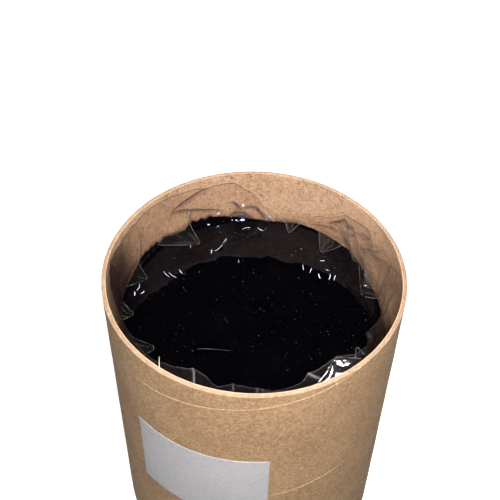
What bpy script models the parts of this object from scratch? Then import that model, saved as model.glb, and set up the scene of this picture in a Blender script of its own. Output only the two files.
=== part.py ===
"""Spiral-wound kraft fibre drum with a film-lined, cast cake of black rosin in it.

Metres, +Z up, origin at the centre of the drum's base, the open rim at the top.
The drum's wall is three wound layers. Its base is a fibreboard disc on a hoop,
held by wire staples through the wall. The rosin was poured hot into a film bag,
so cake and bag lift out of the drum together, straight up.
"""

from math import ceil, cos, radians, sin, tau

import bmesh
import bpy
from mathutils import Matrix

# Clearance between solids that touch
SEAT = 0.0003

# Drum wall
BORE_RADIUS = 0.101
WALL = 0.003
HEIGHT = 0.250
FACING = 0.0005  # the inner and the outer facing ply, each

# Spiral seam of the outer ply: a slit that climbs counter-clockwise to the rim
SEAM_LEAD = 0.110
SEAM_WIDTH = 0.0004
SEAM_RUNOUT = radians(-48)  # where it meets the rim

# Base
HOOP_HEIGHT = 0.015
HOOP_THICKNESS = 0.003
DISC_THICKNESS = 0.005

# Wire staples through wall and hoop
STAPLES = 8
WIRE = 0.0008
CROWN = 0.010
BITE = 0.0016  # how far the legs go into the hoop

# Paper label
LABEL_WIDTH = 0.100
LABEL_HEIGHT = 0.076
LABEL_DROP = 0.074  # from the rim to its top edge
LABEL_START = radians(-138)
LABEL_THICKNESS = 0.0002

# Film bag, with the bunched collar of pleats above the rosin
FILM = 0.0005
FILM_DROP = 0.004  # from the rim to the bag's top edge
COLLAR_REACH = 0.016  # how far the pleats stand in over the rosin
COLLAR_TOP = 0.0025  # and at the bag's top edge

# Rosin cake
ROSIN_DROP = 0.046  # from the rim to the rosin's surface
MENISCUS = 0.0025  # climb of the surface at the bag
MENISCUS_WIDTH = 0.006
FOOT_RADIUS = 0.004  # rounding of the cake's lower edge

# Facets
SEGMENTS = 72
FOOT_STEPS = 3

OUTER_RADIUS = BORE_RADIUS + WALL
CORE_INNER = BORE_RADIUS + FACING + SEAT
CORE_OUTER = OUTER_RADIUS - FACING - SEAT
BASE_RADIUS = BORE_RADIUS - SEAT
STAPLE_Z = HOOP_HEIGHT / 2
DISC_Z = HOOP_HEIGHT + SEAT
BAG_Z = DISC_Z + DISC_THICKNESS + SEAT
CAKE_Z = BAG_Z + FILM + SEAT
CAKE_TOP = HEIGHT - ROSIN_DROP
CAKE_RADIUS = BASE_RADIUS - FILM - SEAT
LABEL_RADIUS = OUTER_RADIUS + SEAT
CROWN_RADIUS = OUTER_RADIUS + SEAT
LEG_END = BASE_RADIUS - BITE


def clear_scene():
    for obj in list(bpy.data.objects):
        bpy.data.objects.remove(obj, do_unlink=True)


def new_collection(name):
    collection = bpy.data.collections.new(name)
    bpy.context.scene.collection.children.link(collection)
    return collection


def finish(name, colour, roughness, metallic=0.0):
    """A Principled material of one colour."""
    material = bpy.data.materials.new(name)
    material.use_nodes = True
    shader = material.node_tree.nodes["Principled BSDF"]
    shader.inputs["Base Color"].default_value = (*colour, 1.0)
    shader.inputs["Roughness"].default_value = roughness
    shader.inputs["Metallic"].default_value = metallic
    return material


def add_object(name, data, material, collection):
    obj = bpy.data.objects.new(name, data)
    data.materials.append(material)
    collection.objects.link(obj)
    return obj


def profile_mesh(name, points, closed):
    """The outline of a turned shape: (radius, height) points joined by edges at +X."""
    edges = [(i, i + 1) for i in range(len(points) - 1)]
    if closed:
        edges.append((len(points) - 1, 0))
    mesh = bpy.data.meshes.new(name)
    mesh.from_pydata([(r, 0.0, z) for r, z in points], edges, [])
    return mesh


def add_screw(obj, angle, steps):
    screw = obj.modifiers.new("Turn", "SCREW")
    screw.axis = "Z"
    screw.angle = angle
    screw.steps = steps
    screw.render_steps = steps
    screw.use_merge_vertices = True
    screw.merge_threshold = 0.00001
    return screw


def turned(name, points, material, collection, closed=False):
    """A full turn of a profile that runs down its outer side.

    A closed profile makes a ring; an open one starts and ends on the axis.
    """
    obj = add_object(name, profile_mesh(name, points, closed), material, collection)
    add_screw(obj, tau, SEGMENTS)
    return obj


def ring(name, inner, outer, bottom, top, material, collection):
    """A plain tube."""
    points = [(outer, top), (outer, bottom), (inner, bottom), (inner, top)]
    return turned(name, points, material, collection, closed=True)


def as_cutter(obj):
    obj.hide_render = True
    obj.display_type = "WIRE"


def cut(obj, cutter):
    boolean = obj.modifiers.new(cutter.name, "BOOLEAN")
    boolean.operation = "DIFFERENCE"
    boolean.solver = "EXACT"
    boolean.object = cutter


def seam_cutter(material, collection):
    """A thin helical ribbon that slits the outer ply from below its foot to above the rim."""
    spare = SEAM_LEAD / 4
    turns_below = ceil((HEIGHT + spare) / SEAM_LEAD)
    turns = turns_below + 1
    # Its facets lie half a step round from the wall's, so that their edges cross cleanly
    phase = tau / SEGMENTS / 2
    start = HEIGHT - SEAM_LEAD * ((SEAM_RUNOUT - phase) / tau + turns_below)
    inner = CORE_OUTER
    outer = OUTER_RADIUS + SEAT
    low = start - SEAM_WIDTH / 2
    high = start + SEAM_WIDTH / 2
    points = [(outer, high), (outer, low), (inner, low), (inner, high)]
    ribbon = add_object("seam_guide", profile_mesh("seam_guide", points, True), material, collection)
    screw = add_screw(ribbon, tau, SEGMENTS)
    screw.use_merge_vertices = False
    screw.iterations = turns
    screw.screw_offset = SEAM_LEAD
    evaluated = ribbon.evaluated_get(bpy.context.evaluated_depsgraph_get())
    mesh = bpy.data.meshes.new_from_object(evaluated)
    bpy.data.objects.remove(ribbon, do_unlink=True)
    shape = bmesh.new()
    shape.from_mesh(mesh)
    shape.transform(Matrix.Rotation(phase, 4, "Z"))
    bmesh.ops.remove_doubles(shape, verts=shape.verts, dist=0.00001)
    bmesh.ops.holes_fill(shape, edges=shape.edges, sides=4)
    bmesh.ops.recalc_face_normals(shape, faces=shape.faces)
    shape.to_mesh(mesh)
    shape.free()
    cutter = add_object("seam_slit", mesh, material, collection)
    as_cutter(cutter)
    return cutter


def staple_angles():
    return [tau * i / STAPLES for i in range(STAPLES)]


def leg_cutter(material, collection):
    """A clearance hole for each staple leg, through the wall and part way into the hoop."""
    inner = LEG_END - SEAT
    outer = CROWN_RADIUS + WIRE
    side = WIRE + 2 * SEAT
    shape = bmesh.new()
    for angle in staple_angles():
        for sign in (-1, 1):
            place = (
                Matrix.Rotation(angle, 4, "Z")
                @ Matrix.Translation(((inner + outer) / 2, sign * (CROWN - WIRE) / 2, STAPLE_Z))
                @ Matrix.Diagonal((outer - inner, side, side, 1.0))
            )
            bmesh.ops.create_cube(shape, size=1.0, matrix=place)
    mesh = bpy.data.meshes.new("leg_holes")
    shape.to_mesh(mesh)
    shape.free()
    cutter = add_object("leg_holes", mesh, material, collection)
    as_cutter(cutter)
    return cutter


def add_wall(paper, collection, cutters):
    """Inner facing, wound core and outer facing, all with the staples' holes."""
    holes = leg_cutter(paper["core"], cutters)
    ring_args = (HEIGHT, paper["facing"], collection)
    inner = ring("inner_ply", BORE_RADIUS, BORE_RADIUS + FACING, SEAT, *ring_args)
    core = ring("wall_core", CORE_INNER, CORE_OUTER, 0.0, HEIGHT, paper["core"], collection)
    outer = ring("outer_ply", OUTER_RADIUS - FACING, OUTER_RADIUS, SEAT, *ring_args)
    for layer in (inner, core, outer):
        cut(layer, holes)
    cut(outer, seam_cutter(paper["core"], cutters))
    return holes


def add_base(paper, collection, holes):
    """The hoop inside the wall's foot, and the disc that rests on it."""
    hoop = ring(
        "base_hoop", BASE_RADIUS - HOOP_THICKNESS, BASE_RADIUS, 0.0, HOOP_HEIGHT, paper["core"], collection
    )
    cut(hoop, holes)
    top = DISC_Z + DISC_THICKNESS
    points = [(0.0, top), (BASE_RADIUS, top), (BASE_RADIUS, DISC_Z), (0.0, DISC_Z)]
    turned("base_disc", points, paper["core"], collection)


def add_staples(steel, collection):
    """U-shaped wire staples, with their crowns outside and their legs pointing inwards."""
    near = CROWN_RADIUS
    far = near + WIRE
    tip = LEG_END
    half = CROWN / 2
    inside = half - WIRE
    right_side = [(far, half), (tip, half), (tip, inside), (near, inside)]
    left_side = [(x, -y) for x, y in reversed(right_side)]
    outline = right_side + left_side
    wire = bpy.data.curves.new("staple", "CURVE")
    wire.dimensions = "2D"
    wire.fill_mode = "BOTH"
    wire.extrude = WIRE / 2
    spline = wire.splines.new("POLY")
    spline.points.add(len(outline) - 1)
    for point, (x, y) in zip(spline.points, outline):
        point.co = (x, y, 0.0, 1.0)
    spline.use_cyclic_u = True
    wire.materials.append(steel)
    for number, angle in enumerate(staple_angles(), 1):
        staple = bpy.data.objects.new(f"staple_{number}", wire)
        staple.location.z = STAPLE_Z
        staple.rotation_euler.z = angle
        collection.objects.link(staple)


def add_label(paper, collection):
    """A blank rectangle of paper, glued round the wall."""
    top = HEIGHT - LABEL_DROP
    outline = profile_mesh("label", [(LABEL_RADIUS, top), (LABEL_RADIUS, top - LABEL_HEIGHT)], False)
    label = add_object("label", outline, paper["label"], collection)
    label.rotation_euler.z = LABEL_START
    angle = LABEL_WIDTH / LABEL_RADIUS
    add_screw(label, angle, ceil(SEGMENTS * angle / tau))
    solid = label.modifiers.new("Thickness", "SOLIDIFY")
    solid.thickness = LABEL_THICKNESS
    solid.offset = 1.0


def add_cake(rosin, film, collection):
    """The rosin and the bag it was poured into, which lift out along the drum's axis."""
    lift = bpy.data.objects.new("cake_lift", None)
    lift.location.z = BAG_Z
    collection.objects.link(lift)

    lip = CAKE_TOP + MENISCUS
    foot = [
        (CAKE_RADIUS - FOOT_RADIUS * (1 - cos(turn)), CAKE_Z + FOOT_RADIUS * (1 - sin(turn)))
        for turn in (tau / 4 * i / FOOT_STEPS for i in range(FOOT_STEPS + 1))
    ]
    points = [
        (0.0, CAKE_TOP),
        (CAKE_RADIUS - MENISCUS_WIDTH, CAKE_TOP),
        (CAKE_RADIUS - MENISCUS_WIDTH / 3, CAKE_TOP + MENISCUS / 3),
        (CAKE_RADIUS, lip),
        *foot,
        (0.0, CAKE_Z),
    ]
    cake = turned("rosin_cake", points, rosin, collection)

    rim = HEIGHT - FILM_DROP
    under = lip + SEAT
    inner = BASE_RADIUS - FILM
    points = [
        (0.0, BAG_Z + FILM),
        (inner, BAG_Z + FILM),
        (inner, under),
        (BASE_RADIUS - COLLAR_REACH, under),
        (BASE_RADIUS - COLLAR_REACH, under + FILM),
        (BASE_RADIUS - COLLAR_TOP, rim),
        (BASE_RADIUS, rim),
        (BASE_RADIUS, BAG_Z),
        (0.0, BAG_Z),
    ]
    bag = turned("liner_bag", points, film, collection)
    for obj in (cake, bag):
        obj.parent = lift
        obj.matrix_parent_inverse = Matrix.Translation(-lift.location)


def main():
    clear_scene()
    drum = new_collection("rosin_drum")
    cutters = new_collection("cutters")
    paper = {
        "facing": finish("kraft_facing", (0.47, 0.30, 0.17), 0.85),
        "core": finish("fibreboard", (0.62, 0.46, 0.31), 0.9),
        "label": finish("label_paper", (0.78, 0.78, 0.8), 0.8),
    }
    steel = finish("staple_wire", (0.55, 0.54, 0.52), 0.35, 1.0)
    rosin = finish("black_rosin", (0.006, 0.004, 0.006), 0.08)
    film = finish("liner_film", (0.45, 0.36, 0.28), 0.15)
    holes = add_wall(paper, drum, cutters)
    add_base(paper, drum, holes)
    add_staples(steel, drum)
    add_label(paper, drum)
    add_cake(rosin, film, drum)


main()
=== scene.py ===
import bmesh
import bpy
import numpy as np
from mathutils import Matrix, Vector


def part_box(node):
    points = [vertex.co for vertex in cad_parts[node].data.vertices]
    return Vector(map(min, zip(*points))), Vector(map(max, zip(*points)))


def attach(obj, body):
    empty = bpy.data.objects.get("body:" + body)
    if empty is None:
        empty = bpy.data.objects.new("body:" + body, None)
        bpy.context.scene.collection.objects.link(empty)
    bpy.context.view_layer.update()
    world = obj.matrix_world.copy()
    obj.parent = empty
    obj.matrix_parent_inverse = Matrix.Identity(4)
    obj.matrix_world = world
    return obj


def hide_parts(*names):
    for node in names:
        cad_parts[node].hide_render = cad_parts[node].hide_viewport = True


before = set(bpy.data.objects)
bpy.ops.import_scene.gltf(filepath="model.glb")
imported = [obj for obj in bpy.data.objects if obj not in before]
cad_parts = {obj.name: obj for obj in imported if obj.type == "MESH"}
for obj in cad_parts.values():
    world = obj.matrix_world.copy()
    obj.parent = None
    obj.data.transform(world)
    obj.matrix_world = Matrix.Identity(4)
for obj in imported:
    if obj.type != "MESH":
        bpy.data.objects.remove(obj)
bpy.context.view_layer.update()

# ------------------------------------------------------------------ outer wrap
# Brown kraft paper, half a millimetre thick, wound round the core as one long
# strip and glued. Its edges meet in a spiral seam that shows as a pale line, and
# the seam of the ply below telegraphs through as a low step beside it.
MM = 0.001
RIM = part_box("wall_core")[1].z
WRAP_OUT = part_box("outer_ply")[1].x
PLY = 0.5 * MM
SEAM_LEAD = 110 * MM
SEAM_GAP = 0.45 * MM
SEAM_RUNOUT = np.radians(-48)
RIM_FALL = 0.35 * MM
SEAM_RIDGE = 0.10 * MM
STEP_BELOW_SEAM = 6 * MM
STEP_HEIGHT = 0.13 * MM
FOOT_GAP = 0.3 * MM


def piece_from_grid(name, points, uv, around=False, tube=False, merge=0.0):
    """A mesh over a grid of points, rows by columns by three, smooth-shaded.

    Its faces look the way that "along a row" crossed with "up a column" points.
    around joins the last column to the first, and tube the last row to the first.
    uv holds the grid's two measures in metres, one value more where it is joined.
    Points closer than the merge distance become one, such as a pole's.
    """
    rows, columns = points.shape[:2]
    r = np.arange(rows if tube else rows - 1)[:, None]
    c = np.arange(columns if around else columns - 1)[None, :]
    r, c = np.broadcast_arrays(r, c)
    r1, c1 = (r + 1) % rows, (c + 1) % columns
    corners = [r * columns + c, r * columns + c1, r1 * columns + c1, r1 * columns + c]
    faces = np.stack(corners, axis=-1).reshape(-1, 4)
    mesh = bpy.data.meshes.new(name)
    mesh.from_pydata(points.reshape(-1, 3), [], faces)
    u, v = uv
    loops = [(u[c], v[r]), (u[c + 1], v[r]), (u[c + 1], v[r + 1]), (u[c], v[r + 1])]
    flat = np.stack([np.stack(pair, axis=-1) for pair in loops], axis=-2)
    mesh.uv_layers.new(name="UVMap").data.foreach_set("uv", flat.astype(np.float32).ravel())
    if merge:
        shape = bmesh.new()
        shape.from_mesh(mesh)
        bmesh.ops.remove_doubles(shape, verts=shape.verts, dist=merge)
        shape.to_mesh(mesh)
        shape.free()
    mesh.shade_smooth()
    piece = bpy.data.objects.new(name, mesh)
    bpy.context.scene.collection.objects.link(piece)
    return piece


def polar(radius, angle, height):
    """Points from radius, angle and height, spread over one grid."""
    radius, angle, height = np.broadcast_arrays(radius, angle, height)
    return np.stack([radius * np.cos(angle), radius * np.sin(angle), height], axis=-1)


def bump(x, centre, width):
    """A smooth hump of height 1: exp of minus half the squared distance in widths."""
    return np.exp(-0.5 * ((x - centre) / width) ** 2)


def new_material(name):
    """A material with its node tree, and the Principled shader in it."""
    material = bpy.data.materials.new(name)
    material.use_nodes = True
    return material, material.node_tree, material.node_tree.nodes["Principled BSDF"]


def put(tree, kind, inputs=None, **settings):
    """Adds a shader node. An input is a value, or the socket to link to it."""
    node = tree.nodes.new("ShaderNode" + kind)
    for key, value in settings.items():
        setattr(node, key, value)
    for key, value in (inputs or {}).items():
        if isinstance(value, bpy.types.NodeSocket):
            tree.links.new(value, node.inputs[key])
        else:
            node.inputs[key].default_value = value
    return node


def calc(tree, operation, a, b=0.0, c=0.0):
    """One Math node's result."""
    return put(tree, "Math", {0: a, 1: b, 2: c}, operation=operation).outputs[0]


def ramp(tree, value, low, high, to_low=0.0, to_high=1.0):
    """A smooth step of a value between two levels."""
    sockets = {"Value": value, "From Min": low, "From Max": high, "To Min": to_low, "To Max": to_high}
    return put(tree, "MapRange", sockets, interpolation_type="SMOOTHSTEP").outputs[0]


def mixed(tree, amount, a, b, blend="MIX"):
    """A blend of two colours."""
    node = put(tree, "Mix", {0: amount, 6: a, 7: b}, data_type="RGBA", blend_type=blend)
    return node.outputs[2]


def noise(tree, vector, scale, detail=2.0, roughness=0.5):
    """One Noise Texture node's value."""
    sockets = {"Vector": vector, "Scale": scale, "Detail": detail, "Roughness": roughness}
    return put(tree, "TexNoise", sockets).outputs["Fac"]


def paper_fibre_group():
    """Node group for unbleached paper: short fibres, mottling, blotches and dark flecks.

    Colour is a blend from Dark to Pale by four noises of different sizes, browner in
    the blotches and darkened at the flecks. Height is the fibres and the fine grain together.
    """
    tree = bpy.data.node_groups.new("paper_fibre", "ShaderNodeTree")
    for name, kind in (
        ("Place", "NodeSocketVector"), ("Along", "NodeSocketVector"), ("Pale", "NodeSocketColor"),
        ("Dark", "NodeSocketColor"), ("Flecks", "NodeSocketFloat"),
    ):
        tree.interface.new_socket(name, in_out="INPUT", socket_type=kind)
    tree.interface.new_socket("Colour", in_out="OUTPUT", socket_type="NodeSocketColor")
    tree.interface.new_socket("Height", in_out="OUTPUT", socket_type="NodeSocketFloat")
    given = tree.nodes.new("NodeGroupInput").outputs
    result = tree.nodes.new("NodeGroupOutput")
    stretched = put(tree, "Mapping", {"Vector": given["Along"], "Scale": (0.16, 1.0, 1.0)}).outputs[0]
    fibre = noise(tree, stretched, 1500, 3)
    grain = noise(tree, given["Place"], 1150, 2)
    mottle = noise(tree, given["Place"], 330, 3, 0.6)
    cloud = noise(tree, given["Place"], 26, 3)
    shade = 0.5
    for source, share in ((fibre, 1.6), (grain, 2.2), (mottle, 1.2), (cloud, 0.8)):
        shade = calc(tree, "MULTIPLY_ADD", calc(tree, "SUBTRACT", source, 0.5), share, shade)
    colour = mixed(tree, ramp(tree, shade, 0.0, 1.0), given["Dark"], given["Pale"])
    blotch = ramp(tree, noise(tree, given["Place"], 135, 3, 0.65), 0.50, 0.74)
    blotch = calc(tree, "MULTIPLY", blotch, calc(tree, "MULTIPLY", given["Flecks"], 0.55))
    colour = mixed(tree, blotch, colour, (0.34, 0.150, 0.060, 1.0))
    speck = ramp(tree, noise(tree, given["Place"], 520, 1), 0.64, 0.74)
    speck = calc(tree, "MULTIPLY", speck, given["Flecks"])
    colour = mixed(tree, speck, colour, (0.09, 0.035, 0.012, 1.0))
    tree.links.new(colour, result.inputs["Colour"])
    tree.links.new(calc(tree, "ADD", fibre, grain), result.inputs["Height"])
    return tree


paper_fibre = paper_fibre_group()
CUT_PAPER = (0.86, 0.66, 0.45, 1.0)
FIBRE_DEPTH = 0.12 * MM


def paper_material(name, pale, dark, flecks, relief, roughness=0.86):
    """Paper or board of the fibre group, its cut edges paler by the attribute "cut"."""
    material, tree, shader = new_material(name)
    coordinates = put(tree, "TexCoord").outputs
    sockets = {
        "Place": coordinates["Object"], "Along": coordinates["UV"],
        "Pale": (*pale, 1.0), "Dark": (*dark, 1.0), "Flecks": flecks,
    }
    fibre = put(tree, "Group", sockets, node_tree=paper_fibre)
    cut = put(tree, "Attribute", attribute_name="cut").outputs["Fac"]
    colour = mixed(tree, cut, fibre.outputs["Colour"], CUT_PAPER)
    tree.links.new(colour, shader.inputs["Base Color"])
    height = {"Height": fibre.outputs["Height"], "Strength": relief, "Distance": FIBRE_DEPTH}
    tree.links.new(put(tree, "Bump", height).outputs[0], shader.inputs["Normal"])
    shader.inputs["Roughness"].default_value = roughness
    shader.inputs["Specular IOR Level"].default_value = 0.25
    return material


def mark(piece, name, values):
    """Keeps one number per point on a piece, for its material to read."""
    attribute = piece.data.attributes.new(name, "FLOAT", "POINT")
    values = np.broadcast_to(values, len(piece.data.vertices))
    attribute.data.foreach_set("value", values.astype(np.float32))


def seat(piece, body, slot, material, *nodes):
    """Gives a piece its material, its body and the CAD nodes it stands for."""
    piece.data.materials.append(material)
    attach(piece, body)
    if nodes:
        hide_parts(*nodes)


def wound_strip():
    """The strip: a flat band's outline carried along a helix, then trimmed at rim and foot.

    Height is the lead times the turns wound plus the place across the band. The
    outside stands at the wrap's radius, less a fall of the two edges that rounds
    them, plus a ridge beside the upper edge, less the step of the ply below.
    """
    turns_to_foot = RIM / SEAM_LEAD + 0.05
    wound = np.linspace(-turns_to_foot, 1.05, 860)[None, :]
    edge = np.array([0.0, 0.06, 0.16, 0.4, 0.9, 1.8]) * MM
    width = SEAM_LEAD - SEAM_GAP
    across = np.concatenate([edge, np.linspace(3.5 * MM, width - 3.5 * MM, 46), width - edge[::-1]])
    from_edge = np.minimum(across, width - across)
    outside = WRAP_OUT - 0.14 * MM * np.exp(-from_edge / (0.12 * MM))
    outside += SEAM_RIDGE * bump(across, width - 1.1 * MM, 0.7 * MM)
    under = width - STEP_BELOW_SEAM
    outside -= STEP_HEIGHT / (1 + np.exp(-(across - under) / (0.3 * MM)))
    inside_across = np.linspace(width, 0, 14)
    inside = np.full(14, WRAP_OUT - PLY)
    profile_r = np.concatenate([outside, inside])[:, None]
    profile_z = np.concatenate([across, inside_across])[:, None]
    angle = SEAM_RUNOUT + wound * 2 * np.pi
    sway = 0.06 * MM * np.sin(7 * angle + 90 * profile_z) + 0.05 * MM * np.sin(3 * angle + 1)
    height = RIM + SEAM_LEAD * (wound - 1) + profile_z
    points = polar(profile_r + sway, angle, height)
    around = np.append(wound[0], 0) * 2 * np.pi * WRAP_OUT
    return piece_from_grid("kraft_wrap", points, (around, np.append(profile_z[:, 0], 0)), tube=True)


def trim(piece, heights):
    """Cuts a closed piece level at its foot and rim and closes the cuts."""
    shape = bmesh.new()
    shape.from_mesh(piece.data)
    for height, up in zip(heights, (-1, 1)):
        everything = shape.verts[:] + shape.edges[:] + shape.faces[:]
        cut = bmesh.ops.bisect_plane(
            shape, geom=everything, dist=1e-6, plane_co=(0, 0, height), plane_no=(0, 0, up), clear_outer=True
        )
        edges = [e for e in cut["geom_cut"] if isinstance(e, bmesh.types.BMEdge)]
        bmesh.ops.edgeloop_fill(shape, edges=edges)
    shape.to_mesh(piece.data)
    shape.free()
    piece.data.shade_smooth()
    piece.data.set_sharp_from_angle(angle=np.radians(50))


kraft_wrap = wound_strip()
trim(kraft_wrap, (FOOT_GAP, RIM - RIM_FALL - 0.15 * MM))
places = np.array([v.co for v in kraft_wrap.data.vertices])
turned_by = (np.arctan2(places[:, 1], places[:, 0]) - SEAM_RUNOUT) / (2 * np.pi)
over_seam = np.mod(places[:, 2] - RIM - SEAM_LEAD * turned_by, SEAM_LEAD)
near_edge = np.minimum(over_seam, SEAM_LEAD - over_seam)
at_rim = places[:, 2] > RIM - RIM_FALL - 0.3 * MM
mark(kraft_wrap, "cut", 0.85 * bump(near_edge, 0.0, 0.3 * MM) + at_rim * 0.1)
kraft = paper_material("kraft_paper", (0.62, 0.412, 0.238), (0.35, 0.208, 0.106), 0.42, 0.5)
seat(kraft_wrap, "drum", "kraft_facing", kraft, "outer_ply")

# A pale butt splice, where a new reel of facing was joined on, stands upright
# between the seam and the rim, a little crowned.
SPLICE_PLACE = np.radians(-61)
SPLICE_LEAN = 4.0
SPLICE_LENGTH = 5.2 * MM
SPLICE_WIDTH = 0.7 * MM
SPLICE_CROWN = 0.10 * MM
splice_z = np.linspace(RIM - SPLICE_LENGTH, RIM - RIM_FALL - 0.2 * MM, 12)[:, None]
splice_across = np.linspace(-0.5, 0.5, 5)[None, :]
splice_angle = SPLICE_PLACE + splice_across * SPLICE_WIDTH / WRAP_OUT + (RIM - splice_z) * SPLICE_LEAN
splice_r = WRAP_OUT + 0.02 * MM + SPLICE_CROWN * np.cos(3 * splice_across)
splice = piece_from_grid(
    "wrap_splice", polar(splice_r, splice_angle, splice_z), (np.arange(5) * 0.2 * MM, splice_z[:, 0])
)
splice.modifiers.new("Paper", "SOLIDIFY").thickness = 0.12 * MM
mark(splice, "cut", 0.9)
seat(splice, "drum", "kraft_facing", kraft)

# ------------------------------------------------------------------ wound core
# Pale fibreboard, several plies wound and glued on a mandrel. The tube was sawn
# to length. Its cut edge is furry and slightly worn down to the outside, with a
# fine line at each ply.
CORE_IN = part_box("inner_ply")[1].x + 0.02 * MM
CORE_OUT = WRAP_OUT - PLY - 0.02 * MM
CORE_PLIES = 5
PLY_LINE_DEPTH = 0.14 * MM


def waves(angle, across, seed, lowest, highest, count=36, climb=900.0):
    """A fixed random ripple: a mean of sines with whole numbers of waves round the drum."""
    dice = np.random.default_rng(seed)
    turns = dice.integers(lowest, highest, count)
    slopes = dice.uniform(-climb, climb, count)
    phases = dice.uniform(0, 2 * np.pi, count)
    total = 0.0
    for turn, slope, phase in zip(turns, slopes, phases):
        total = total + np.sin(turn * angle + slope * across + phase)
    return total / np.sqrt(count)


def ring_piece(name, profile, columns, sway):
    """A ring: a closed profile of radius and height, anticlockwise, turned about the axis.

    sway adds to radius and height, by angle, length along the profile and place.
    """
    angle = np.linspace(0, 2 * np.pi, columns, endpoint=False)[None, :]
    radius, height = profile[:, :1], profile[:, 1:]
    steps = np.hypot(*(np.roll(profile, -1, axis=0) - profile).T)
    length = np.concatenate([[0], np.cumsum(steps)])
    radial, axial = sway(angle, length[:-1, None], radius, height)
    points = polar(radius + radial, angle, height + axial)
    around = np.linspace(0, 2 * np.pi, columns + 1) * profile[:, 0].mean()
    return piece_from_grid(name, points, (around, length), around=True, tube=True)


across_rim = np.linspace(CORE_OUT, CORE_IN, 61)
ply_width = (CORE_OUT - CORE_IN) / CORE_PLIES
ply_place = (across_rim - CORE_IN) / ply_width
from_line = np.abs(ply_place - np.round(ply_place)) * ply_width
rim_fall = RIM_FALL * (across_rim - CORE_IN) / (CORE_OUT - CORE_IN)
rim_height = RIM - rim_fall - PLY_LINE_DEPTH * bump(from_line, 0, 0.05 * MM)
wall_z = np.linspace(0, RIM - RIM_FALL - 0.2 * MM, 7, endpoint=False)
core_profile = np.concatenate([
    np.column_stack([np.full(7, CORE_OUT), wall_z]),
    np.column_stack([across_rim, rim_height]),
    np.column_stack([np.full(7, CORE_IN), wall_z[::-1]]),
])


def furry_rim(angle, length, radius, height):
    """Sawn fibres: a fine and a coarse ripple of the cut edge, and none further down."""
    at_rim = height > RIM - RIM_FALL - 0.19 * MM
    fine = waves(angle, radius, 11, 90, 420, climb=9000)
    coarse = waves(angle, radius, 12, 12, 60, climb=3000)
    return 0.02 * MM * fine * at_rim, (0.075 * MM * fine + 0.05 * MM * coarse - 0.08 * MM) * at_rim


core = ring_piece("fibre_core", core_profile, 900, furry_rim)
core.data.set_sharp_from_angle(angle=np.radians(60))
mark(core, "cut", 0.0)
board = paper_material("fibreboard", (0.62, 0.435, 0.315), (0.42, 0.275, 0.185), 0.15, 0.7, 0.92)
seat(core, "drum", "fibreboard", board, "wall_core")

# ---------------------------------------------------------------- inner facing
# The kraft ply that lines the bore, a little lighter and more mottled than the
# wrap. Its cut edge at the rim is slightly frayed.
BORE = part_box("inner_ply")[1].x - PLY
facing_top = np.linspace(BORE + PLY - 0.02 * MM, BORE + 0.02 * MM, 6)
facing_profile = np.concatenate([
    [(BORE + PLY, FOOT_GAP)],
    np.column_stack([facing_top, np.full(6, RIM - 0.06 * MM)]),
    np.column_stack([np.full(64, BORE), np.linspace(RIM - 0.3 * MM, FOOT_GAP, 64)]),
])


def frayed_bore(angle, length, radius, height):
    """Slow swells of the bore's paper, and a fine ripple along its cut edge."""
    swell = 0.10 * MM * waves(angle, height, 21, 2, 14, climb=60) * (radius < BORE + 0.01 * MM)
    edge = waves(angle, radius, 22, 80, 380, climb=4000) * (height > RIM - 0.4 * MM)
    return 0.5 * np.minimum(swell, 0.1 * MM) + 0.04 * MM * edge, 0.07 * MM * edge - 0.05 * MM * (edge != 0)


facing = ring_piece("kraft_lining", facing_profile, 720, frayed_bore)
facing.data.set_sharp_from_angle(angle=np.radians(60))
mark(facing, "cut", (np.array([v.co.z for v in facing.data.vertices]) > RIM - 0.25 * MM) * 0.6)
lining = paper_material("kraft_lining", (0.74, 0.490, 0.330), (0.45, 0.275, 0.160), 0.75, 0.6)
seat(facing, "drum", "kraft_facing", lining, "inner_ply")

# A splinter of paper that the saw tore up leans in, narrows and curls over.
SPLINTER_PLACE = np.radians(-124.8)
SPLINTER_SLANT = np.radians(2.2)
SPLINTER_LEAN_IN = 4.6 * MM
SPLINTER_RISE = 3.4 * MM
SPLINTER_HALF_WIDTH = 0.45 * MM
along = np.linspace(0, 1, 9)[:, None]
side = np.linspace(-1, 1, 3)[None, :]
splinter_side = side * SPLINTER_HALF_WIDTH * (1 - 0.6 * along)
splinter_angle = SPLINTER_PLACE - SPLINTER_SLANT * along + splinter_side / BORE
splinter_r = BORE + 0.2 * MM - SPLINTER_LEAN_IN * along
splinter_z = RIM - 0.6 * MM + SPLINTER_RISE * along + 0.5 * MM * np.sin(3 * along)
splinter = piece_from_grid(
    "rim_splinter", polar(splinter_r, splinter_angle, splinter_z),
    (side[0] * 0.4 * MM, along[:, 0] * 6 * MM),
)
splinter.modifiers.new("Paper", "SOLIDIFY").thickness = 0.2 * MM
mark(splinter, "cut", 0.7)
seat(splinter, "drum", "kraft_facing", lining)

# ------------------------------------------------------------- base and staples
# The base is a fibreboard disc on a hoop of the same board. Flattened steel
# wire staples hold the hoop in the wall's foot.
hoop_low, hoop_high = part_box("base_hoop")
HOOP_WALL = 3 * MM
POLE_GAP = 0.001 * MM
SOFT_CORNER = 0.35 * MM


def rounded(low_r, high_r, low_z, high_z, corner, steps=5):
    """A closed section, anticlockwise from its lower outer corner, with round corners."""
    turns = np.linspace(0, np.pi / 2, steps)
    centres = ((high_r - corner, low_z + corner), (high_r - corner, high_z - corner),
               (low_r + corner, high_z - corner), (low_r + corner, low_z + corner))
    sections = []
    for quarter, (r, z) in enumerate(centres):
        arc = turns + (quarter - 1) * np.pi / 2
        sections.append(np.column_stack([r + corner * np.cos(arc), z + corner * np.sin(arc)]))
    return np.concatenate(sections)


def board_ripple(angle, length, radius, height):
    """A slight unevenness of pressed board."""
    return 0.04 * MM * waves(angle, length, 31, 5, 60, climb=300), 0.0 * radius


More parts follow.
